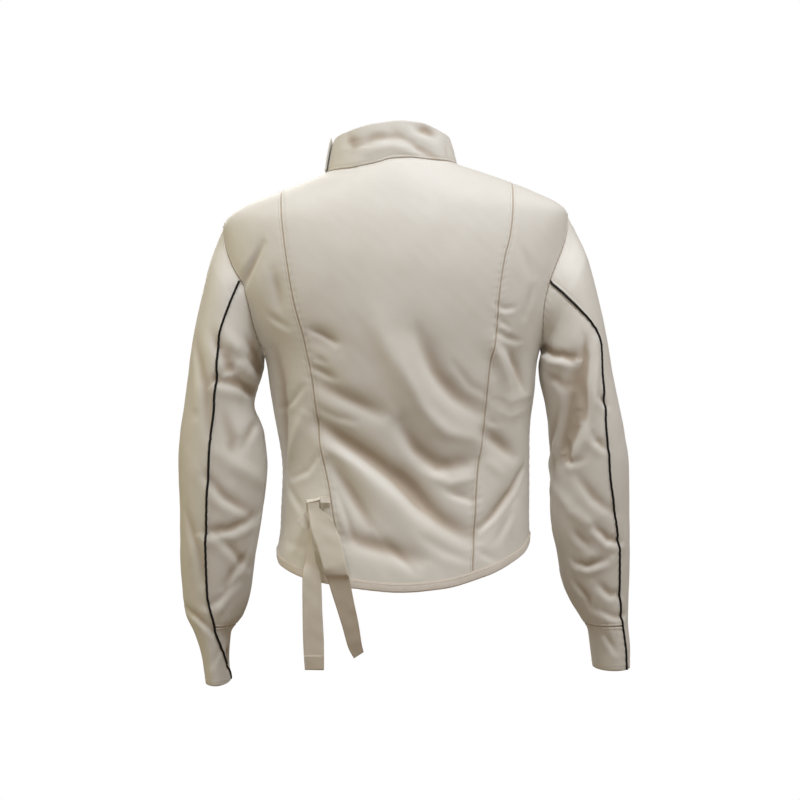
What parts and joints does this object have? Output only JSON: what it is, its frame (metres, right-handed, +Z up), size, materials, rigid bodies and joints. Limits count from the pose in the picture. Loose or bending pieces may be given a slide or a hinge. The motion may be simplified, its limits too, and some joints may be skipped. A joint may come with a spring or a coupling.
{
  "type": "fencing jacket",
  "caption": "White stretch fencing jacket with stand collar, black-piped two-piece sleeves, front zip and a tied waist tape, in its worn form with no wearer",
  "frame": {"origin": "middle of the neck opening at the level of the neck seam", "axes": "+Z up along the wearer, wearer's front towards -Y, wearer's left towards +X"},
  "size_m": [0.6279, 0.2338, 0.7701],
  "materials": {
    "white_cloth": "cream-white satin stretch weave",
    "white_tape": "matt woven tape",
    "black_piping": "smooth black braid",
    "zip_metal": "satin cast metal"
  },
  "bodies": {
    "jacket": {"back_centre": "white_cloth", "back_side_left": "white_cloth", "back_side_right": "white_cloth", "front_main": "white_cloth", "front_left": "white_cloth", "collar": "white_cloth", "over_sleeve_left": "white_cloth", "over_sleeve_right": "white_cloth", "under_sleeve_left": "white_cloth", "under_sleeve_right": "white_cloth", "under_cuff_left": "white_cloth", "under_cuff_right": "white_cloth", "hem_tape": "white_tape", "tie_stub": "white_tape", "tie_loop": "white_tape", "tie_end": "white_tape", "tie_tail_left": "white_tape", "tie_tail_right": "white_tape", "zip_tape": "white_tape", "zip_chain": "white_tape", "piping_left": "black_piping", "piping_right": "black_piping", "zip_slider": "zip_metal"},
    "pull_tab": {"zip_pull": "zip_metal"}
  },
  "joints": [
    {"name": "pull_hinge", "type": "hinge", "parent": "jacket", "child": "pull_tab", "pos_m": [0.05007, -0.06113, -0.03777], "axis": [-0.9959, -0.0704, -0.0574], "range_deg": [0, 140]}
  ]
}
